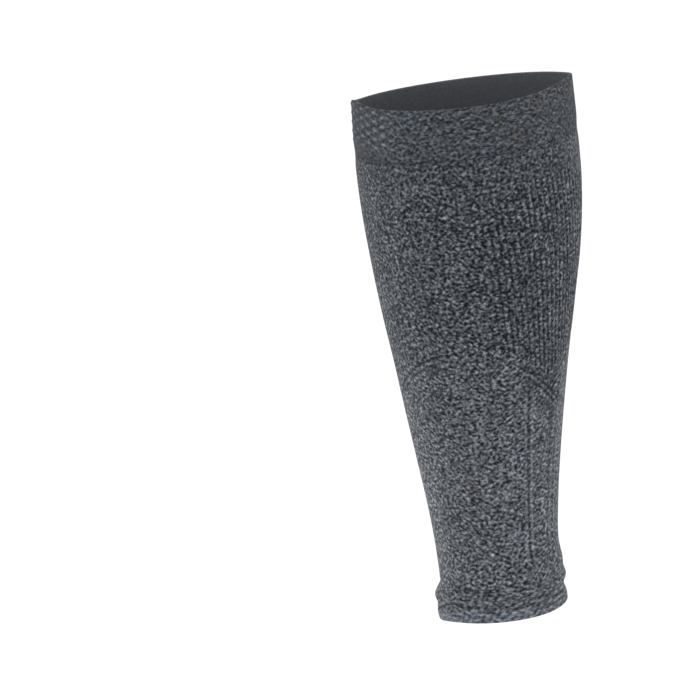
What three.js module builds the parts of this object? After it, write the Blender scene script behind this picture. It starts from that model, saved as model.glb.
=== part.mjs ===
// Knitted calf sleeve, in the form that it takes when worn: a tapering tube with a ribbed calf
// panel, a turned band at the knee and a turned cuff at the ankle. Millimetres, with +Z up the
// leg, +Y towards the calf muscle and -Y towards the shin. The origin is on the leg's axis at
// the fullest girth.

import * as THREE from "three";

// Lengths along the leg
const LENGTH = 305;
const GIRTH_HEIGHT = 270; // the fullest girth, above the ankle rim
const BAND_HEIGHT = 30;
const CUFF_HEIGHT = 20;

// Thicknesses: the tube is single, the band and the cuff are turned double
const TUBE_WALL = 1.4;
const WELT_WALL = 2;

// Each welt laps over a thin edge of the tube
const LAP = 3;
const GAP = 0.3;
const LEAF = (TUBE_WALL - GAP) / 2;
const TUBE_FOOT = CUFF_HEIGHT + GAP;
const TUBE_TOP = LENGTH - BAND_HEIGHT - GAP;

// Leg sections by height above the ankle rim: full width and depth, and how far the middle
// stands forward of the leg's axis. Each is an ellipse that is fuller towards the calf.
const CALF_FULLNESS = 0.05;
const SECTIONS = [
  { height: 0, width: 73, depth: 77.5, forward: 16.6 },
  { height: 12, width: 72.5, depth: 77, forward: 17.3 },
  { height: 22, width: 70.5, depth: 75, forward: 14.5 },
  { height: 36, width: 69, depth: 73.5, forward: 15 },
  { height: 60, width: 73, depth: 77, forward: 14 },
  { height: 90, width: 80.5, depth: 85, forward: 12.5 },
  { height: 120, width: 89, depth: 94, forward: 10.6 },
  { height: 150, width: 97.3, depth: 103.3, forward: 8.2 },
  { height: 180, width: 107.2, depth: 113.2, forward: 5.8 },
  { height: 210, width: 115.5, depth: 122.5, forward: 3 },
  { height: 240, width: 121, depth: 128.5, forward: 1.2 },
  { height: 270, width: 123, depth: 130.5, forward: 0 },
  { height: 305, width: 121.5, depth: 128.5, forward: -2 },
];

// Swells and pinches that run round the fabric, each a bell of the given reach
const FOLDS = [
  { name: "hem roll", height: 4, swell: 0.4, reach: 4 },
  { name: "hem stitch line", height: 9.5, swell: -0.7, reach: 2.5 },
  { name: "gathered cuff", height: 15, swell: 1.1, reach: 4 },
  { name: "cuff seam", height: 21, swell: -0.5, reach: 3 },
  { name: "band seam", height: LENGTH - BAND_HEIGHT, swell: -0.5, reach: 5 },
];

// Both rims wave round the leg, in bells that fade out along it
const KNEE_WAVES = [
  { name: "shin point", turn: 127, rise: 3.5, reach: 20 },
  { name: "calf point", turn: -27, rise: 2.2, reach: 24 },
  { name: "outer dip", turn: 38, rise: -2.5, reach: 45 },
  { name: "inner dip", turn: -152, rise: -1.8, reach: 90 },
];
const ANKLE_WAVES = [
  { name: "shin drop", turn: 145, rise: -4.2, reach: 35 },
  { name: "heel drop", turn: 5, rise: -0.5, reach: 30 },
];
const KNEE_WAVE_FADE = 60;
const ANKLE_WAVE_FADE = 60;

// Calf panel: ribs along the leg that end on two arches, one for each side of the leg
const RIB_TURN = 3.6;
const PANEL_RIBS = 28;
const RIB_RISE = 0.6;
const RIB_FADE = 12;
const ARCH = { turn: 70, apex: 163, foot: 107, reach: 130 };

// The knit is worn with a twist, so its columns lean on their way down the calf
const TWIST = { top: LENGTH - BAND_HEIGHT, foot: 149, turn: 4 * RIB_TURN };

// Raised double lines on both sides of the heel tendon, each on a column of the knit
const TENDON_LINES = [-14.4, -9, 14.4, 19.8];
const TENDON_RISE = 0.6;
const TENDON_TOP = 140;
const TENDON_FOOT = 32;

// Facets
const COLUMN_TURN = RIB_TURN / 2;
const PANEL_TURN = (PANEL_RIBS * RIB_TURN) / 2;
const PLAIN_COLUMNS = 34;
const WELT_COLUMNS = 48;
const RIM_FACETS = 4;
const WELT_ROWS = 5;
const WELT_LINING_ROWS = 3;
const OUTER_SPANS = [
  { name: "ankle", top: 38, rows: 4 },
  { name: "tendon", top: 126, rows: 6 },
  { name: "arches", top: 176, rows: 8 },
  { name: "calf", top: 262, rows: 6 },
  { name: "band seam", top: TUBE_TOP, rows: 3 },
];
const LINING_SPANS = [
  { name: "calf", foot: 66, rows: 7 },
  { name: "ankle", foot: TUBE_FOOT, rows: 6 },
  { name: "cuff lap", foot: TUBE_FOOT - LAP, rows: 1 },
];

const COLOURS = { leg_tube: 0x50545a, knee_band: 0x484b50, ankle_cuff: 0x56595d };
const KNIT = { roughness: 0.95, metalness: 0 };

const { cos, sin, abs, exp, PI } = Math;
const { clamp, degToRad, smoothstep, lerp, inverseLerp, euclideanModulo } = THREE.MathUtils;

const legSection = new THREE.CubicInterpolant(
  SECTIONS.map((section) => section.height),
  SECTIONS.flatMap((section) => [section.width, section.depth, section.forward]),
  3,
);

// Turns are in degrees round the leg, from the middle of the calf (+Y) towards +X.
const bell = (distance, reach) => exp(-((distance / reach) ** 2));

const foldSwell = (height) => FOLDS.reduce(
  (sum, fold) => sum + fold.swell * bell(height - fold.height, fold.reach),
  0,
);

const turnBetween = (from, to) => euclideanModulo(to - from + 180, 360) - 180;

const waveRise = (waves, turn) => waves.reduce(
  (sum, wave) => sum + wave.rise * bell(turnBetween(wave.turn, turn), wave.reach),
  0,
);

const rimRise = (height, turn) =>
  waveRise(KNEE_WAVES, turn) * smoothstep(height, LENGTH - KNEE_WAVE_FADE, LENGTH)
  + waveRise(ANKLE_WAVES, turn) * (1 - smoothstep(height, 0, ANKLE_WAVE_FADE));

// How far a column has turned back at this height from where it starts at the band
const knitTwist = (height) => TWIST.turn * clamp(inverseLerp(TWIST.top, TWIST.foot, height), 0, 1);

function archHeight(turn) {
  const away = Math.min(abs(abs(turn) - ARCH.turn) / ARCH.reach, 1);
  return ARCH.foot + (ARCH.apex - ARCH.foot) * (1 + cos(PI * away)) / 2;
}

function ribRelief(height, turn) {
  const column = turn + knitTwist(height);
  if (abs(column) >= PANEL_TURN) return 0;
  const aboveArch = smoothstep(height, archHeight(turn), archHeight(turn) + RIB_FADE);
  const seam = LENGTH - BAND_HEIGHT - LAP;
  const belowBand = 1 - smoothstep(height, seam - RIB_FADE, seam);
  return (RIB_RISE / 2) * cos((2 * PI * column) / RIB_TURN) * aboveArch * belowBand;
}

function tendonRelief(height, turn) {
  const along = smoothstep(height, TENDON_FOOT - RIB_FADE / 2, TENDON_FOOT)
    * (1 - smoothstep(height, TENDON_TOP - RIB_FADE / 2, TENDON_TOP));
  const nearest = Math.min(...TENDON_LINES.map((line) => abs(turn - line)));
  return TENDON_RISE * Math.max(0, 1 - nearest / COLUMN_TURN) * along;
}

// A point of the fabric, inset from the outside of the sleeve
function fabricPoint(height, turn, inset, relief = 0) {
  const [width, depth, forward] = legSection.evaluate(height);
  const angle = degToRad(turn);
  const x = (width / 2) * sin(angle) * (1 + CALF_FULLNESS * cos(angle));
  const y = (depth / 2) * cos(angle) - forward;
  const outward = new THREE.Vector2(
    (depth / 2) * sin(angle),
    (width / 2) * (cos(angle) + CALF_FULLNESS * cos(2 * angle)),
  ).normalize();
  const out = foldSwell(height) + relief - inset;
  return [x + out * outward.x, y + out * outward.y, height - GIRTH_HEIGHT + rimRise(height, turn)];
}

// Heights between two ends, without the last one
const heightsBetween = (from, to, rows) => Array.from(
  { length: rows },
  (_, row) => lerp(from, to, row / rows),
);

// One face of a wall, as rows of its profile
const face = (heights, inset, relief) => heights.map((height) => ({ height, inset, relief }));

// Half-round edge of a turned welt, from one face of its wall to the other
function roundEdge(height, direction) {
  const radius = WELT_WALL / 2;
  return Array.from({ length: RIM_FACETS + 1 }, (_, facet) => {
    const angle = (PI * facet) / RIM_FACETS;
    return {
      height: height + direction * radius * (sin(angle) - 1),
      inset: radius * (1 - direction * cos(angle)),
    };
  });
}

// A closed wall: the profile, up the outside and down the inside, swept once round the leg along
// the columns of the knit
function sweptWall(columns, profile) {
  const points = columns.flatMap((column) => profile.flatMap(({ height, inset, relief }) => {
    const turn = column - knitTwist(height);
    return fabricPoint(height, turn, inset, relief ? relief(height, turn) : 0);
  }));
  const rows = profile.length;
  const faces = [];
  columns.forEach((_, column) => {
    const next = (column + 1) % columns.length;
    for (let row = 0; row < rows; row += 1) {
      const above = (row + 1) % rows;
      const [a, b] = [column * rows + row, column * rows + above];
      const [c, d] = [next * rows + above, next * rows + row];
      faces.push(a, b, c, a, c, d);
    }
  });
  const geometry = new THREE.BufferGeometry();
  geometry.setAttribute("position", new THREE.Float32BufferAttribute(points, 3));
  geometry.setIndex(faces);
  geometry.computeVertexNormals();
  return geometry;
}

// Columns by their turn at the band
function weltColumns() {
  return Array.from({ length: WELT_COLUMNS }, (_, column) => (column * 360) / WELT_COLUMNS);
}

function tubeColumns() {
  const panelColumns = 2 * PANEL_RIBS + 1;
  const plainTurn = (360 - 2 * PANEL_TURN) / PLAIN_COLUMNS;
  const panel = Array.from({ length: panelColumns }, (_, column) => column * COLUMN_TURN - PANEL_TURN);
  const plain = Array.from({ length: PLAIN_COLUMNS - 1 }, (_, column) => {
    const turn = PANEL_TURN + (column + 1) * plainTurn;
    return turn > 180 ? turn - 360 : turn;
  });
  return [...panel, ...plain];
}

// The tube: both ends step in to a thin edge that runs behind a welt
function legTube() {
  const relief = (height, turn) => ribRelief(height, turn) + tendonRelief(height, turn);
  const spanFeet = [TUBE_FOOT, ...OUTER_SPANS.map((span) => span.top)];
  const outside = OUTER_SPANS.flatMap(
    (span, index) => heightsBetween(spanFeet[index], span.top, span.rows),
  );
  const spanTops = [TUBE_TOP + LAP, ...LINING_SPANS.map((span) => span.foot)];
  const lining = LINING_SPANS.flatMap(
    (span, index) => heightsBetween(spanTops[index], span.foot, span.rows),
  );
  return sweptWall(tubeColumns(), [
    ...face([...outside, TUBE_TOP], 0, relief),
    ...face([TUBE_TOP, TUBE_TOP + LAP], LEAF + GAP),
    ...face([...lining, TUBE_FOOT - LAP], TUBE_WALL),
    ...face([TUBE_FOOT - LAP, TUBE_FOOT], LEAF + GAP),
  ]);
}

// The band: its lower edge laps over the tube, and its top is a round turn
function kneeBand() {
  const foot = LENGTH - BAND_HEIGHT;
  const rim = roundEdge(LENGTH, 1);
  const shoulder = foot + LAP + GAP;
  const outside = heightsBetween(foot, rim[0].height, WELT_ROWS);
  const lining = heightsBetween(rim[0].height, shoulder, WELT_LINING_ROWS);
  return sweptWall(weltColumns(), [
    ...face(outside, 0),
    ...rim.slice(0, -1),
    ...face([...lining, shoulder], WELT_WALL),
    ...face([shoulder, foot], LEAF),
  ]);
}

// The cuff: its upper edge laps over the tube, and its hem is a round turn
function ankleCuff() {
  const hem = roundEdge(0, -1);
  const shoulder = CUFF_HEIGHT - LAP - GAP;
  const outside = heightsBetween(hem[0].height, CUFF_HEIGHT, WELT_ROWS);
  const lining = heightsBetween(shoulder, hem[0].height, WELT_LINING_ROWS);
  return sweptWall(weltColumns(), [
    ...hem.slice(0, -1),
    ...face([...outside, CUFF_HEIGHT], 0),
    ...face([CUFF_HEIGHT, shoulder], LEAF),
    ...face(lining, WELT_WALL),
  ]);
}

function knitted(name, geometry) {
  const mesh = new THREE.Mesh(geometry, new THREE.MeshStandardMaterial({ color: COLOURS[name], ...KNIT }));
  mesh.name = name;
  return mesh;
}

const sleeve = new THREE.Group();
sleeve.add(
  knitted("leg_tube", legTube()),
  knitted("knee_band", kneeBand()),
  knitted("ankle_cuff", ankleCuff()),
);

export default sleeve;
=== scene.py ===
import math
import bpy
import numpy as np
from mathutils import Matrix, Vector


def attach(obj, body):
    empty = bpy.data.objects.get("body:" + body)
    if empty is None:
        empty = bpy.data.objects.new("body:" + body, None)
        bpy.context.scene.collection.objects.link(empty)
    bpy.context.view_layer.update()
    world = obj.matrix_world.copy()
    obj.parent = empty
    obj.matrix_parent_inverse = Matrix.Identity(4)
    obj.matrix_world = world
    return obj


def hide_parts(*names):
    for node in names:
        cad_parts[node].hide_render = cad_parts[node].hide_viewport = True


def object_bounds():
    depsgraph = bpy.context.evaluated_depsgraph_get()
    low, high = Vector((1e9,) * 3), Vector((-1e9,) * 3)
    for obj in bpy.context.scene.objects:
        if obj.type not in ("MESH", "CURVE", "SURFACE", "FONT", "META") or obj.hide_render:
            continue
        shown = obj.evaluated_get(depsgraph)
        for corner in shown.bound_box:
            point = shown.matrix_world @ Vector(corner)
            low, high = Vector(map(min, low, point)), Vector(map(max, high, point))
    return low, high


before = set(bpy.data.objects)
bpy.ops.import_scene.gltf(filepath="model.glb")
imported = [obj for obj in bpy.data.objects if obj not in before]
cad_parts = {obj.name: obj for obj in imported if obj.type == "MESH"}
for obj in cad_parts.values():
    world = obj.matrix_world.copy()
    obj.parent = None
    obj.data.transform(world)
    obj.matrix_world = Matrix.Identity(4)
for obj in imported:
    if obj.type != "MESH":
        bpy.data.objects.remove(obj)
cadBox = [list(corner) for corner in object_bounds()]
print("frame loaded:", ", ".join(sorted(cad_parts)))

mm = 0.001

# Studio: where the photograph was taken from, and plain white light

photoView = {
    "azimuth": 132,
    "elevation": 11.7,
    "roll": 7.4,
    "distance": 2.0,
    "middle": (0, -0.0082, -0.1175),  # the point of the sleeve that is framed
    "toRight": 0.0747,  # how far that point stands from the picture's middle
    "toBottom": 0.0048,
    "pictureWidth": 0.4018,  # what the picture spans at the sleeve
    "sensorWidth": 36,
    "sight": 100,
}


def placeCamera(look):
    azimuth, elevation, roll = (math.radians(look[key]) for key in ("azimuth", "elevation", "roll"))
    flat = math.cos(elevation)
    back = Vector((math.sin(azimuth) * flat, -math.cos(azimuth) * flat, math.sin(elevation)))
    level = Vector((math.cos(azimuth), math.sin(azimuth), 0))
    upright = back.cross(level)
    right = level * math.cos(roll) - upright * math.sin(roll)
    up = level * math.sin(roll) + upright * math.cos(roll)
    middle = Vector(look["middle"])
    eye = middle + back * look["distance"]
    aim = middle - right * look["toRight"] + up * look["toBottom"]
    back = (eye - aim).normalized()
    right = (right - back * right.dot(back)).normalized()
    up = back.cross(right)
    bpy.ops.object.camera_add(location=eye)
    camera = bpy.context.object
    camera.rotation_mode = "QUATERNION"
    camera.rotation_quaternion = Matrix((right, up, back)).transposed().to_quaternion()
    camera.data.sensor_width = look["sensorWidth"]
    camera.data.lens = look["sensorWidth"] * look["distance"] / look["pictureWidth"]
    camera.data.clip_end = look["sight"]
    bpy.context.scene.camera = camera


studio = {
    "worldStrength": 1.14,
    "floorDrop": 3,  # the sleeve floats well above the floor
    "floorSize": 60,
    "floorColour": (0.93, 0.93, 0.93, 1),
    "floorRoughness": 0.9,
    "lampSize": 1.4,
    "lamps": [((0.25, -1.85, -0.8), 15), ((-1.6, 0.7, -1.5), 10)],  # place, power
}


def lightStudio(look):
    scene = bpy.context.scene
    scene.view_settings.view_transform = "Standard"
    world = bpy.data.worlds.new("studioWhite")
    world.use_nodes = True
    sky = world.node_tree.nodes["Background"]
    sky.inputs["Color"].default_value = (1, 1, 1, 1)
    sky.inputs["Strength"].default_value = look["worldStrength"]
    scene.world = world
    for place, power in look["lamps"]:
        bpy.ops.object.light_add(type="AREA", location=place)
        lamp = bpy.context.object
        lamp.data.size = look["lampSize"]
        lamp.data.energy = power
        lamp.rotation_mode = "QUATERNION"
        lamp.rotation_quaternion = (-Vector(place)).to_track_quat("-Z", "Y")
    floorPlace = (0, 0, cadBox[0][2] - look["floorDrop"])
    bpy.ops.mesh.primitive_plane_add(size=look["floorSize"], location=floorPlace)
    floor = bpy.context.object
    floor.name = "floor"
    paint = bpy.data.materials.new("floorWhite")
    paint.use_nodes = True
    shader = paint.node_tree.nodes["Principled BSDF"]
    shader.inputs["Base Color"].default_value = look["floorColour"]
    shader.inputs["Roughness"].default_value = look["floorRoughness"]
    floor.data.materials.append(paint)


placeCamera(photoView)
lightStudio(studio)
print("studio ready")

# The worn form that all three pieces share. Heights and sizes are in mm, heights above the ankle
# rim. Turns are in degrees round the leg, from the middle of the calf.

leg = {
    "length": 305,
    "girthHeight": 270,  # the frame's origin
    "bandHeight": 30,
    "cuffHeight": 20,
    "tubeWall": 1.4,
    "weltWall": 2,
    "rimFacets": 8,
    "lap": 3,
    "gap": 0.05,  # the welts close up to the tube
    "mergeReach": 0.005,
    "calfFullness": 0.05,
    "sections": [  # height, width, depth, forward
        (0, 73, 77.5, 16.6),
        (12, 72.5, 77, 17.3),
        (22, 70.5, 75, 14.5),
        (36, 69, 73.5, 15),
        (60, 73, 77, 14),
        (90, 80.5, 85, 12.5),
        (120, 89, 94, 10.6),
        (150, 97.3, 103.3, 8.2),
        (180, 107.2, 113.2, 5.8),
        (210, 115.5, 122.5, 3),
        (240, 121, 128.5, 1.2),
        (270, 123, 130.5, 0),
        (305, 121.5, 128.5, -2),
    ],
    "folds": [  # height, swell, reach
        (4, 0.4, 4),
        (9.5, -0.7, 2.5),
        (15, 1.1, 4),
        (21, -0.5, 3),
        (275, -0.5, 5),
    ],
    "kneeWaves": [(127, 3.5, 20), (-27, 2.2, 24), (38, -2.5, 45), (-152, -1.8, 90)],  # turn, rise, reach
    "ankleWaves": [(145, -4.2, 35), (5, -0.5, 30)],
    "waveFade": 60,  # how far from its rim a wave dies out
    "twist": {"top": 275, "foot": 149, "turn": 14.4},
}
leaf = (leg["tubeWall"] - leg["gap"]) / 2  # half of the tube's wall, where it laps a welt
seamHeight = leg["length"] - leg["bandHeight"]


def bell(distance, reach):
    return np.exp(-((distance / reach) ** 2))


def smoothStep(value, low, high):
    part = np.clip((value - low) / (high - low), 0, 1)
    return part * part * (3 - 2 * part)


def waveRise(waves, turn):
    return sum(rise * bell((turn - at + 180) % 360 - 180, reach) for at, rise, reach in waves)


# Width, depth and forward lean at a height, on a smooth curve through the sections
def legSection(height):
    table = np.array(leg["sections"], float)
    knots, values = table[:, 0], table[:, 1:]
    slopes = np.diff(values, axis=0) / np.diff(knots)[:, None]
    tangents = np.concatenate([slopes[:1], (slopes[1:] + slopes[:-1]) / 2, slopes[-1:]])
    at = np.clip(height, knots[0], knots[-1])
    low = np.clip(np.searchsorted(knots, at, side="right") - 1, 0, len(knots) - 2)
    span = (knots[low + 1] - knots[low])[:, None]
    part = ((at - knots[low])[:, None]) / span
    stay = (1 + 2 * part) * (1 - part) ** 2
    leave = part * (1 - part) ** 2 * span
    arrive = part**2 * (part - 1) * span
    curve = stay * values[low] + (1 - stay) * values[low + 1]
    curve = curve + leave * tangents[low] + arrive * tangents[low + 1]
    return curve.T


def legPoint(height, turn, out):
    width, depth, forward = legSection(height)
    angle = np.radians(turn)
    sway = leg["calfFullness"]
    across = width / 2 * np.sin(angle) * (1 + sway * np.cos(angle))
    behind = depth / 2 * np.cos(angle) - forward
    outX = depth / 2 * np.sin(angle)
    outY = width / 2 * (np.cos(angle) + sway * np.cos(2 * angle))
    size = np.hypot(outX, outY)
    swell = sum(amount * bell(height - at, reach) for at, amount, reach in leg["folds"])
    nearKnee = smoothStep(height, leg["length"] - leg["waveFade"], leg["length"])
    nearAnkle = 1 - smoothStep(height, 0, leg["waveFade"])
    rise = waveRise(leg["kneeWaves"], turn) * nearKnee
    rise = rise + waveRise(leg["ankleWaves"], turn) * nearAnkle
    move = out + swell
    upward = height - leg["girthHeight"] + rise
    return np.column_stack([across + move * outX / size, behind + move * outY / size, upward])


# The columns of the knit lean on their way down the calf
def knitTwist(height):
    twist = leg["twist"]
    return twist["turn"] * np.clip((twist["top"] - height) / (twist["top"] - twist["foot"]), 0, 1)


# Profiles: each row has its height, how deep it lies in the wall, and 1 if it shows outside

def spread(low, high, step):
    count = max(1, round(abs(high - low) / step))
    return [low + (high - low) * index / count for index in range(count)]


def spreadSpans(start, spans):
    heights = []
    for end, step in spans:
        heights += spread(start, end, step)
        start = end
    return heights


def face(heights, inset, shown):
    return [(height, inset, shown) for height in heights]


def turnedEdge(height, direction):
    radius = leg["weltWall"] / 2
    crown = 1.01 * radius  # the top of the edge still shows outside
    edge = []
    for facet in range(leg["rimFacets"] + 1):
        angle = math.pi * facet / leg["rimFacets"]
        up = direction * radius * (math.sin(angle) - 1)
        inset = radius * (1 - direction * math.cos(angle))
        edge.append((height + up, inset, inset < crown))
    return edge


# A flat panel of knit, one row of faces for each step of the profile, wrapped round the leg.
# The knit map holds column and height, and the marks say where the stitches change and where shade and
# light are painted.

# Of the marks, the dark lines also hold painted shade in the cuff's creases, the pale lines painted
# highlight on their crests, the shade mark painted shade and light at the sides, and the rib mark partly
# painted shade in the rib grooves
markNames = ("shade", "soft", "ribs", "grooveAndCreaseShade", "raisedAndHighlight", "cool")
deepestGroove = 1.4  # what dark lines that cross can add up to


def wrapPanel(name, columns, profile, relief, marks):
    rows = len(profile) - 1
    bpy.ops.object.select_all(action="DESELECT")
    bpy.ops.mesh.primitive_grid_add(x_subdivisions=columns, y_subdivisions=rows, size=1)
    piece = bpy.context.object
    piece.name = name
    mesh = piece.data
    flat = np.empty(len(mesh.vertices) * 3)
    mesh.vertices.foreach_get("co", flat)
    across, along, _ = flat.reshape(-1, 3).T
    row = np.rint((along + 0.5) * rows).astype(int)
    height, inset, shown = np.array(profile, float)[row].T
    turn = across * 360 - knitTwist(height)
    worn = legPoint(height, turn, relief(height, turn) * shown - inset)
    mesh.vertices.foreach_set("co", (worn * mm).ravel())
    corners = np.empty(len(mesh.loops), int)
    mesh.loops.foreach_get("vertex_index", corners)
    knitMap = np.column_stack([across + 0.5, height * mm])[corners]
    mesh.uv_layers[0].data.foreach_set("uv", knitMap.ravel())
    for mark in markNames:
        amount = marks[mark](height, turn) if mark in marks else np.zeros_like(height)
        if mark != "ribs":  # only the ribs show through to the lining
            amount = amount * shown
        mesh.attributes.new(mark, "FLOAT", "POINT").data.foreach_set("value", amount)
    lining = shown[corners].reshape(-1, 4).min(axis=1) < 0.5
    mesh.polygons.foreach_set("material_index", lining.astype(int))
    bpy.ops.object.mode_set(mode="EDIT")
    bpy.ops.mesh.select_all(action="SELECT")
    bpy.ops.mesh.remove_doubles(threshold=leg["mergeReach"] * mm)
    bpy.ops.mesh.normals_make_consistent(inside=False)
    bpy.ops.object.mode_set(mode="OBJECT")
    bpy.ops.object.shade_smooth()
    mesh.update()
    print(name, "wrapped:", len(mesh.polygons), "faces")
    return piece


# Leg tube: ribs over the calf, arches where they end, double lines beside the heel tendon

tube = {
    "columns": 600,
    "ribTurn": 3.6,
    "ribSpread": 115,  # ribs widen towards the shin
    "shinTurn": 95,
    "panelTurn": 44,
    "panelEdge": 6,
    "ribRise": 0.45,
    "plainShare": 0.45,  # how strong the ribs are off the calf panel
    "ribTop": seamHeight - 14,
    "ribFade": 9,
    "arch": {"turn": 65, "apex": 161, "foot": 87, "reach": 150},
    "archFade": 12,
    "archRise": 0.25,
    "archWidth": 0.8,
    "archDark": ((2, 1.25), (-2, 0.8), (-6.5, 0.35)),  # above the arch, how strong
    "archLight": ((0, 0.65), (-4.6, 0.4)),
    "archStart": (-18, -8),  # turns between which its lines come and go
    "archEnd": (120, 150),
    "archTopTurn": 48,  # they are faint at the top
    "archTopReach": (20, 32),
    "archTopShare": 0.3,
    "tendonRaised": ((-14.4, 1), (-9, 1), (14.4, 1), (19.8, 1)),  # turn, how strong
    "tendonPale": ((-14.4, 0.4), (-8.5, 0.4), (14.4, 1), (19.8, 0.6)),
    "tendonDark": ((-11.7, 0.35), (-5.2, 0.85), (17.1, 0.9)),
    "tendonWidth": 1.1,
    "tendonRise": 0.45,
    "tendonTop": 140,
    "tendonFoot": 32,
    "tendonFade": 6,
    "shadeFoot": -75,  # the ground darkens from below the arch to above it
    "shadeTop": 50,
    "topShade": 0.35,  # and again next to the band
    "shinEdge": (90, 130),
    "shinMiddle": 130,  # painted shade darkens the shin side above this, and painted light makes it paler below
    "shinReach": 160,
    "softFoot": 242,  # flecks are fainter towards the band and stronger on the shin
    "shinFlecks": 0.8,
    "shinFleckEdge": (100, 130),
    "spans": [  # up to which height, row height
        (46, 1.6),
        (118, 6),
        (168, 0.7),
        (262, 6),
        (seamHeight - leg["gap"], 2.5),
    ],
    "liningSpans": [(66, 30), (leg["cuffHeight"], 6)],  # down to which height, row height
    "flat": (0.30, 0.26),
    "flatArea": 0.0624,
}


def archLine(turn):
    arch = tube["arch"]
    away = np.minimum(np.abs(turn - arch["turn"]) / arch["reach"], 1)
    return arch["foot"] + (arch["apex"] - arch["foot"]) * (1 + np.cos(math.pi * away)) / 2


def archTop(turn):
    return np.maximum(archLine(turn), archLine(-turn))


def archLines(height, turn, lines):
    total = 0
    for side in (1, -1):
        away = side * turn
        seen = smoothStep(away, *tube["archStart"]) * (1 - smoothStep(away, *tube["archEnd"]))
        offTop = smoothStep(np.abs(away - tube["archTopTurn"]), *tube["archTopReach"])
        seen = seen * (tube["archTopShare"] + (1 - tube["archTopShare"]) * offTop)
        rise = height - archLine(away)
        drawn = sum(share * bell(rise - above, tube["archWidth"]) for above, share in lines)
        total = total + seen * drawn
    return total


def aboveRibs(height):
    return smoothStep(height, tube["ribTop"] - tube["ribFade"], tube["ribTop"])


def ribStrength(height, turn):
    reach = tube["panelTurn"]
    panel = 1 - smoothStep(np.abs(turn), reach - tube["panelEdge"], reach + tube["panelEdge"])
    strength = tube["plainShare"] + (1 - tube["plainShare"]) * panel
    aboveArch = smoothStep(height, archTop(turn), archTop(turn) + tube["archFade"])
    return strength * aboveArch * (1 - aboveRibs(height))


def ribGroove(height, turn):
    column = (turn + knitTwist(height) + 180) % 360 - 180
    turns = np.arange(181)
    widths = tube["ribTurn"] * (1 + (np.minimum(turns, tube["shinTurn"]) / tube["ribSpread"]) ** 3)
    counts = np.cumsum(1 / widths) - 1 / widths[0]
    counts = counts * round(counts[-1]) / counts[-1]  # whole ribs all round
    return (0.5 - 0.5 * np.cos(2 * math.pi * np.interp(np.abs(column), turns, counts))) ** 2


def tendonReach(height):
    foot, top, fade = tube["tendonFoot"], tube["tendonTop"], tube["tendonFade"]
    return smoothStep(height, foot - fade, foot) * (1 - smoothStep(height, top - fade, top))


def tendonLines(height, turn, lines):
    drawn = sum(share * bell(turn - line, tube["tendonWidth"]) for line, share in lines)
    return drawn * tendonReach(height)


def tubeRibs(height, turn):
    return ribGroove(height, turn) * ribStrength(height, turn)


def tubeRelief(height, turn):
    ribs = (0.5 - ribGroove(height, turn)) * ribStrength(height, turn) * tube["ribRise"]
    arches = archLines(height, turn, tube["archLight"]) - archLines(height, turn, tube["archDark"])
    tendon = tendonLines(height, turn, tube["tendonRaised"])
    return ribs + tube["archRise"] * arches + tube["tendonRise"] * tendon


def tubeGroove(height, turn):
    tendon = tendonLines(height, turn, tube["tendonDark"])
    return np.clip(tendon + archLines(height, turn, tube["archDark"]), 0, deepestGroove)


def tubeRaised(height, turn):
    tendon = tendonLines(height, turn, tube["tendonPale"])
    return np.clip(tendon + archLines(height, turn, tube["archLight"]), 0, 1)


def tubeShade(height, turn):
    low = smoothStep(height, archTop(turn) + tube["shadeFoot"], archTop(turn) + tube["shadeTop"])
    top = tube["topShade"] * aboveRibs(height)
    # painted shade on the upper shin side and painted light on the lower, evening out the lamps
    shin = smoothStep(np.abs(turn), *tube["shinEdge"])
    shin = shin * (height - tube["shinMiddle"]) / tube["shinReach"]
    return low + top + shin


def tubeSoft(height, turn):
    shin = smoothStep(np.abs(turn), *tube["shinFleckEdge"])
    return smoothStep(height, tube["softFoot"], seamHeight) - tube["shinFlecks"] * shin


def knitTube():
    foot = leg["cuffHeight"] + leg["gap"]
    top = seamHeight - leg["gap"]
    outside = spreadSpans(foot, tube["spans"])
    lining = spreadSpans(top + leg["lap"], tube["liningSpans"])
    profile = face([*outside, top], 0, 1)
    profile += face([top, top + leg["lap"]], leaf + leg["gap"], 0)
    profile += face([*lining, leg["cuffHeight"], foot - leg["lap"]], leg["tubeWall"], 0)
    profile += face([foot - leg["lap"], foot], leaf + leg["gap"], 0)
    profile += face([foot], 0, 1)
    marks = {
        "shade": tubeShade,
        "soft": tubeSoft,
        "ribs": tubeRibs,
        "grooveAndCreaseShade": tubeGroove,
        "raisedAndHighlight": tubeRaised,
    }
    return wrapPanel("legTube", tube["columns"], profile, tubeRelief, marks)


# Knee band: tuck stitches stand out as a lattice of dots

band = {
    "columns": 696,
    "rowStep": 0.6,
    "liningStep": 5,
    "dotsRound": 29,
    "dotHeight": 5,
    "dotTurn": 120,  # where one of the dots stands
    "dotLift": 15.5,
    "dotFoot": (5, 9),  # how far above the seam they start
    "dotRise": 0.3,
    "dotSharpness": 2.5,
    "dotShare": 0.15,  # how much they stand out on the calf
    "dotGap": 0.7,  # how dark it is between them
    "shinEdge": (84, 96),
    "seamDark": 0.8,
    "seamWidth": 0.8,
    "unshadedTurn": 48,  # painted shade darkens the band away from this turn, towards its sides
    "sideShadeReach": (40, 75),
    "sideShade": 0.85,
    "flat": (0.30, 0.03),
}


def bandSoft(height, turn):
    return smoothStep(np.abs(turn), *band["shinEdge"])


def bandLattice(height, turn, sign):
    around = np.cos(2 * math.pi * (turn - band["dotTurn"]) * band["dotsRound"] / 360)
    along = np.cos(2 * math.pi * (height - seamHeight - band["dotLift"]) / band["dotHeight"])
    share = band["dotShare"] + (1 - band["dotShare"]) * bandSoft(height, turn)
    start, full = band["dotFoot"]
    foot = smoothStep(height, seamHeight + start, seamHeight + full)
    return np.clip(sign * around * along, 0, 1) ** band["dotSharpness"] * share * foot


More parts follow.
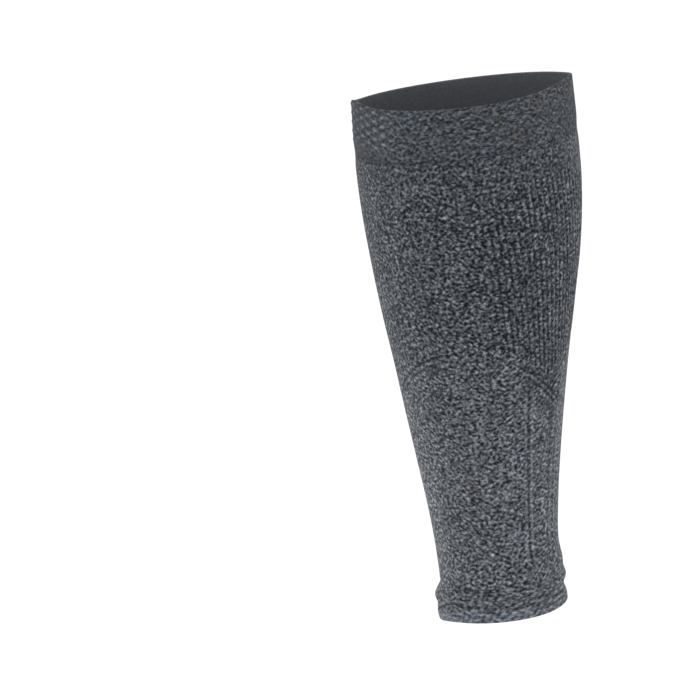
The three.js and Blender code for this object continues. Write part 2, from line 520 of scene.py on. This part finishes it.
def bandDots(height, turn):
    return bandLattice(height, turn, 1)


def bandRelief(height, turn):
    return band["dotRise"] * bandDots(height, turn)


def bandGroove(height, turn):
    seam = band["seamDark"] * bell(height - seamHeight, band["seamWidth"])
    return seam + band["dotGap"] * bandLattice(height, turn, -1)


# Painted shade: the band is darker towards its sides
def bandShade(height, turn):
    return 1 + band["sideShade"] * smoothStep(np.abs(turn - band["unshadedTurn"]), *band["sideShadeReach"])


def knitBand():
    rim = turnedEdge(leg["length"], 1)
    shoulder = seamHeight + leg["lap"] + leg["gap"]
    profile = face(spread(seamHeight, rim[0][0], band["rowStep"]), 0, 1)
    profile += rim[:-1]
    profile += face([*spread(rim[-1][0], shoulder, band["liningStep"]), shoulder], leg["weltWall"], 0)
    profile += face([shoulder, seamHeight], leaf, 0)
    profile += face([seamHeight], 0, 1)
    marks = {"shade": bandShade, "soft": bandSoft, "grooveAndCreaseShade": bandGroove, "raisedAndHighlight": bandDots}
    return wrapPanel("kneeBand", band["columns"], profile, bandRelief, marks)


# Ankle cuff: gathered over the hem, with painted shade in its creases and painted highlight on their
# crests

cuff = {
    "columns": 600,
    "rowStep": 0.5,
    "liningStep": 4,
    "gathers": ((23, 1, 3, 1.3), (41, 0.6, 2, 2)),  # how many, how strong, and how they wander
    "gatherHeight": 13,
    "gatherReach": 4,
    "gatherRise": 0.2,
    "seamTurn": 67,
    "seamWidth": 1,
    "seamFoot": (8, 9),
    "seamRise": 0.3,
    "seamPale": 1.5,
    "foldTurn": -14,  # creases beside the heel, with painted shade in them and painted highlight on their crests
    "foldReach": 28,
    "foldHeight": 12.3,
    "foldStep": 3,
    "foldMiddle": 8.5,
    "foldSpan": 6,
    "foldRise": 0.25,
    "hemTop": 7.2,
    "hemFade": 2,
    "hemHeel": 0.3,  # how pale the hem is at the heel, where it is darkest
    "hemHeelEdge": (10, 40),
    "hemLineWidth": 0.6,
    "hemLineStart": (36, 48),
    "hemLineEnd": (86, 96),
    "hemFoldHeight": 11,
    "hemFoldWidth": 0.8,
    "hemFoldStart": (78, 92),
    "hemFoldShade": 1.5,
    "hemFoldHighlight": 0.7,
    "hemFoldLip": 1.8,  # the painted highlight on the lip lies this far above the fold
    "hemDrop": 5,  # the hem's fold sinks towards the shin
    "hemDropEdge": (95, 140),
    "shinPaintedLight": 0.4,
    "shinEdge": (90, 125),
    "palest": 1.5,
    "flat": (0.18, 0.02),
}


def cuffFolds(height, turn):
    wave = np.cos(2 * math.pi * (height - cuff["foldHeight"]) / cuff["foldStep"])
    around = bell(turn - cuff["foldTurn"], cuff["foldReach"])
    return wave * around * bell(height - cuff["foldMiddle"], cuff["foldSpan"])


def cuffSeam(height, turn):
    return bell(turn - cuff["seamTurn"], cuff["seamWidth"]) * smoothStep(height, *cuff["seamFoot"])


def hemFold(height, turn, above):
    drop = cuff["hemDrop"] * smoothStep(np.abs(turn), *cuff["hemDropEdge"])
    line = cuff["hemFoldHeight"] - drop + above
    return bell(height - line, cuff["hemFoldWidth"]) * smoothStep(np.abs(turn), *cuff["hemFoldStart"])


def hemLine(height, turn):
    line = bell(height - cuff["hemTop"], cuff["hemLineWidth"])
    return line * smoothStep(turn, *cuff["hemLineStart"]) * (1 - smoothStep(turn, *cuff["hemLineEnd"]))


def cuffRelief(height, turn):
    angle = np.radians(turn)
    gathers = sum(
        strong * np.sin(many * angle + far * np.sin(often * angle))
        for many, strong, often, far in cuff["gathers"]
    )
    gathers = gathers * bell(height - cuff["gatherHeight"], cuff["gatherReach"]) * cuff["gatherRise"]
    folds = cuffFolds(height, turn) - hemFold(height, turn, 0)
    return gathers + cuff["seamRise"] * cuffSeam(height, turn) + cuff["foldRise"] * folds


def cuffHem(height, turn):
    strip = 1 - smoothStep(height, cuff["hemTop"] - cuff["hemFade"], cuff["hemTop"])
    offHeel = smoothStep(np.abs(turn), *cuff["hemHeelEdge"])
    return strip * (cuff["hemHeel"] + (1 - cuff["hemHeel"]) * offHeel)


# The hem is paler, and painted light makes the shin side paler
def cuffShade(height, turn):
    return cuffHem(height, turn) + cuff["shinPaintedLight"] * smoothStep(np.abs(turn), *cuff["shinEdge"])


# Painted shade in the creases and in the hem's fold
def cuffCreaseShade(height, turn):
    folds = np.clip(-cuffFolds(height, turn), 0, 1)
    return np.clip(cuff["hemFoldShade"] * hemFold(height, turn, 0) + folds, 0, deepestGroove)


# Pale seam and hem line, with painted highlight on the crests of the creases and on the lip above the
# hem's fold
def cuffPaleLinesAndHighlights(height, turn):
    lip = cuff["hemFoldHighlight"] * hemFold(height, turn, cuff["hemFoldLip"])
    edges = cuff["seamPale"] * cuffSeam(height, turn) + lip + hemLine(height, turn)
    folds = np.clip(cuffFolds(height, turn), 0, 1)
    return np.clip(edges + folds, 0, cuff["palest"])


def knitCuff():
    hem = turnedEdge(0, -1)
    top = leg["cuffHeight"]
    shoulder = top - leg["lap"] - leg["gap"]
    profile = hem[:-1]
    profile += face([*spread(hem[-1][0], top, cuff["rowStep"]), top], 0, 1)
    profile += face([top, shoulder], leaf, 0)
    profile += face(spread(shoulder, hem[0][0], cuff["liningStep"]), leg["weltWall"], 0)
    profile += [hem[0]]
    marks = {"shade": cuffShade, "grooveAndCreaseShade": cuffCreaseShade, "raisedAndHighlight": cuffPaleLinesAndHighlights, "cool": cuffHem}
    return wrapPanel("ankleCuff", cuff["columns"], profile, cuffRelief, marks)


pieces = {"leg_tube": knitTube(), "knee_band": knitBand(), "ankle_cuff": knitCuff()}


# A shader socket that takes part in sums: each sum adds its node
class Yarn:
    def __init__(self, tree, socket=None):
        self.tree = tree
        self.socket = socket

    def node(self, kind, settings=None, sockets=None, out=0):
        made = self.tree.nodes.new(kind)
        for name, value in (settings or {}).items():
            setattr(made, name, value)
        for name, value in (sockets or {}).items():
            if isinstance(value, Yarn):
                self.tree.links.new(value.socket, made.inputs[name])
            else:
                made.inputs[name].default_value = value
        return Yarn(self.tree, made.outputs[out])

    def other(self, out):
        return Yarn(self.tree, self.socket.node.outputs[out])

    def sum(self, operation, first, second=0):
        return self.node("ShaderNodeMath", {"operation": operation}, {0: first, 1: second})

    def __add__(self, more):
        return self.sum("ADD", self, more)

    def __sub__(self, less):
        return self.sum("SUBTRACT", self, less)

    def __rsub__(self, more):
        return self.sum("SUBTRACT", more, self)

    def __mul__(self, times):
        return self.sum("MULTIPLY", self, times)

    def __truediv__(self, share):
        return self.sum("DIVIDE", self, share)

    def __pow__(self, power):
        return self.sum("POWER", self, power)

    def __mod__(self, step):
        return self.sum("FLOORED_MODULO", self, step)

    def __abs__(self):
        return self.sum("ABSOLUTE", self)

    __radd__ = __add__
    __rmul__ = __mul__


# Knits: columns of V stitches in mixed greys, with dark gaps between the flecks. Sizes are in metres.

knits = {
    "heatherKnit": {
        "lightness": 0.0885,
        "grain": (0.0020, 0.00155),  # a fleck's width and height
        "contrast": 2.85,
        "rows": 0.13,  # how far a light fleck darkens the row below it
        "shadeDrop": 0.26,
        "shadeContrast": 0.2,
        "raisedLift": 0.8,
        "cloudSize": 0.011,
        "clouds": 0.75,  # how cloudy the ground is
        "breaks": 1.8,  # how broken its dark lines are
        "mottle": 0.12,  # how the dye turns from cool to warm
        "sheen": 0.12,
    },
    "bandKnit": {
        "lightness": 0.087,
        "grain": (0.0022, 0.0013),
        "contrast": 1.85,
        "rows": 0.24,
        "shadeDrop": 0.33,
        "shadeContrast": 0.2,
        "raisedLift": 3.2,
        "cloudSize": 0.007,
        "clouds": 0,
        "breaks": 0,
        "mottle": 0.32,
        "sheen": 0.08,
    },
    "cuffKnit": {
        "lightness": 0.082,
        "grain": (0.0028, 0.0015),
        "contrast": 2.8,
        "rows": 0.2,
        "shadeDrop": -0.5,  # the hem is paler than the rest, and painted light makes the shin side paler
        "shadeContrast": -0.3,
        "raisedLift": 0.6,
        "cloudSize": 0.009,
        "clouds": 0.3,
        "breaks": 0,
        "mottle": 0.2,
        "sheen": 0.12,
    },
    "liningKnit": {
        "lightness": 0.101,
        "grain": (0.0017, 0.0015),
        "contrast": 0.2,
        "rows": 0,
        "shadeDrop": 0,
        "shadeContrast": 0,
        "raisedLift": 0,
        "cloudSize": 0.009,
        "clouds": 0,
        "breaks": 0,
        "mottle": 0,
        "sheen": 0,
    },
}
stitch = {
    "wales": 200,  # columns round the leg
    "course": 0.00105,
    "slant": 0.6,
    "limbFall": 0.7,
    "depth": 0.00025,
    "bump": 0.7,
    "rowHeight": 0.0017,
    "tonePower": 2.4,
    "toneFloor": 0.1,
    "softness": 0.25,
    # painted shade in the stitch hollows and painted light on their ridges
    "shadedHollow": 0.85,
    "litRidge": 0.22,
    "grooveDrop": 0.65,
    "grooveMost": 0.85,
    # rib grooves are darker: partly the purl stitches, partly painted shade
    "ribDrop": 0.66,
    "coolShift": 0.05,
    "fibreTint": (0.946, 1, 1.08),
    "deepTint": (0, 0.0019, 0.006),
    "roughness": 0.95,
    "specular": 0.15,
    "sheenRoughness": 0.4,
    "sheenTint": (0.94, 1, 1.08, 1),
}


def zigzag(value):
    return abs(value % 1 - 0.5) * 2


def noise(start, sockets):
    return start.node("ShaderNodeTexNoise", None, sockets, "Fac") - 0.5


def vectorSum(start, operation, sockets):
    return start.node("ShaderNodeVectorMath", {"operation": operation}, sockets)


def knitFinish(name, look):
    material = bpy.data.materials.new(name)
    material.use_nodes = True
    start = Yarn(material.node_tree)
    shader = material.node_tree.nodes["Principled BSDF"]
    mark = {}
    for key in markNames:
        mark[key] = start.node("ShaderNodeAttribute", {"attribute_name": key}, out="Fac")

    # V stitches: the two limbs of each lean against one another
    knitMap = start.node("ShaderNodeUVMap", {"uv_map": "UVMap"})
    around = start.node("ShaderNodeSeparateXYZ", None, {"Vector": knitMap}, "X")
    limb = zigzag(around * stitch["wales"])
    acrossYarn = zigzag(around.other("Y") / stitch["course"] - limb * stitch["slant"])
    alongYarn = abs(limb - 0.5) * 2
    stitchRise = (1 - acrossYarn * acrossYarn) * (1 - alongYarn * alongYarn * stitch["limbFall"])

    # Flecks of lighter and darker fibre
    wide, tall = look["grain"]
    place = start.node("ShaderNodeTexCoord", None, None, "Object")
    grain = vectorSum(start, "DIVIDE", {0: place, 1: (wide, wide, tall)})
    rowAbove = vectorSum(start, "ADD", {0: grain, 1: (0, 0, stitch["rowHeight"] / tall)})
    fleck = noise(start, {"Vector": grain, "Scale": 1, "Detail": 1})
    above = noise(start, {"Vector": rowAbove, "Scale": 1, "Detail": 1})
    contrast = (1 + mark["shade"] * look["shadeContrast"]) * (1 - mark["soft"] * stitch["softness"])
    contrast = contrast * look["contrast"]
    tone = 1 + (fleck - above * look["rows"]) * contrast
    tone = start.sum("MAXIMUM", tone, stitch["toneFloor"]) ** stitch["tonePower"]

    # Raised stitches are light, and grooves dark and broken here and there; on the cuff these add
    # painted highlight on fold crests and painted shade in the creases
    cloud = noise(start, {"Vector": place, "Scale": 1 / look["cloudSize"]})
    grooveAndCreaseShade = mark["grooveAndCreaseShade"] * stitch["grooveDrop"] * (1 - cloud * look["breaks"])
    limits = {"Value": grooveAndCreaseShade, "Min": 0, "Max": stitch["grooveMost"]}
    grooveAndCreaseShade = start.node("ShaderNodeClamp", None, limits)
    light = (tone + mark["raisedAndHighlight"] * look["raisedLift"]) * look["lightness"]
    # painted shade: the hollows between stitch limbs are darker and the ridges lighter
    light = light * (stitch["shadedHollow"] + stitchRise * stitch["litRidge"])
    # the shade mark darkens zones of the ground, pales the hem, and paints shade and light on the sides
    # of the band, shin and cuff
    light = light * (1 - mark["shade"] * look["shadeDrop"])
    # rib grooves are darker: partly the purl stitches there, partly painted shade in the grooves
    light = light * (1 - mark["ribs"] * stitch["ribDrop"])
    light = light * (1 - grooveAndCreaseShade)
    light = light * (1 + cloud * look["clouds"])

    # Dark fibre is bluer than light fibre, and the dye is mottled
    cool = cloud * look["mottle"] + mark["cool"] * stitch["coolShift"]
    dye = start.node("ShaderNodeCombineXYZ", None, {"X": 1 - cool, "Y": 1, "Z": 1 + cool})
    dye = vectorSum(start, "SCALE", {0: dye, "Scale": light})
    colour = vectorSum(start, "MULTIPLY_ADD", {0: dye, 1: stitch["fibreTint"], 2: stitch["deepTint"]})
    relief = {"Height": stitchRise, "Distance": stitch["depth"], "Strength": stitch["bump"]}
    bump = start.node("ShaderNodeBump", None, relief)
    material.node_tree.links.new(colour.socket, shader.inputs["Base Color"])
    material.node_tree.links.new(bump.socket, shader.inputs["Normal"])
    shader.inputs["Roughness"].default_value = stitch["roughness"]
    shader.inputs["Specular IOR Level"].default_value = stitch["specular"]
    shader.inputs["Sheen Weight"].default_value = look["sheen"]
    shader.inputs["Sheen Roughness"].default_value = stitch["sheenRoughness"]
    shader.inputs["Sheen Tint"].default_value = stitch["sheenTint"]
    return material


finishes = {name: knitFinish(name, look) for name, look in knits.items()}
print("knits made:", ", ".join(finishes))

wear = {
    "leg_tube": ("heatherKnit", "heather_knit", tube),
    "knee_band": ("bandKnit", "band_knit", band),
    "ankle_cuff": ("cuffKnit", "cuff_knit", cuff),
}
for node, piece in pieces.items():
    finish, slot, cut = wear[node]
    piece.data.materials.append(finishes[finish])
    piece.data.materials.append(finishes["liningKnit"])
    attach(piece, "root")
    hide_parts(node)
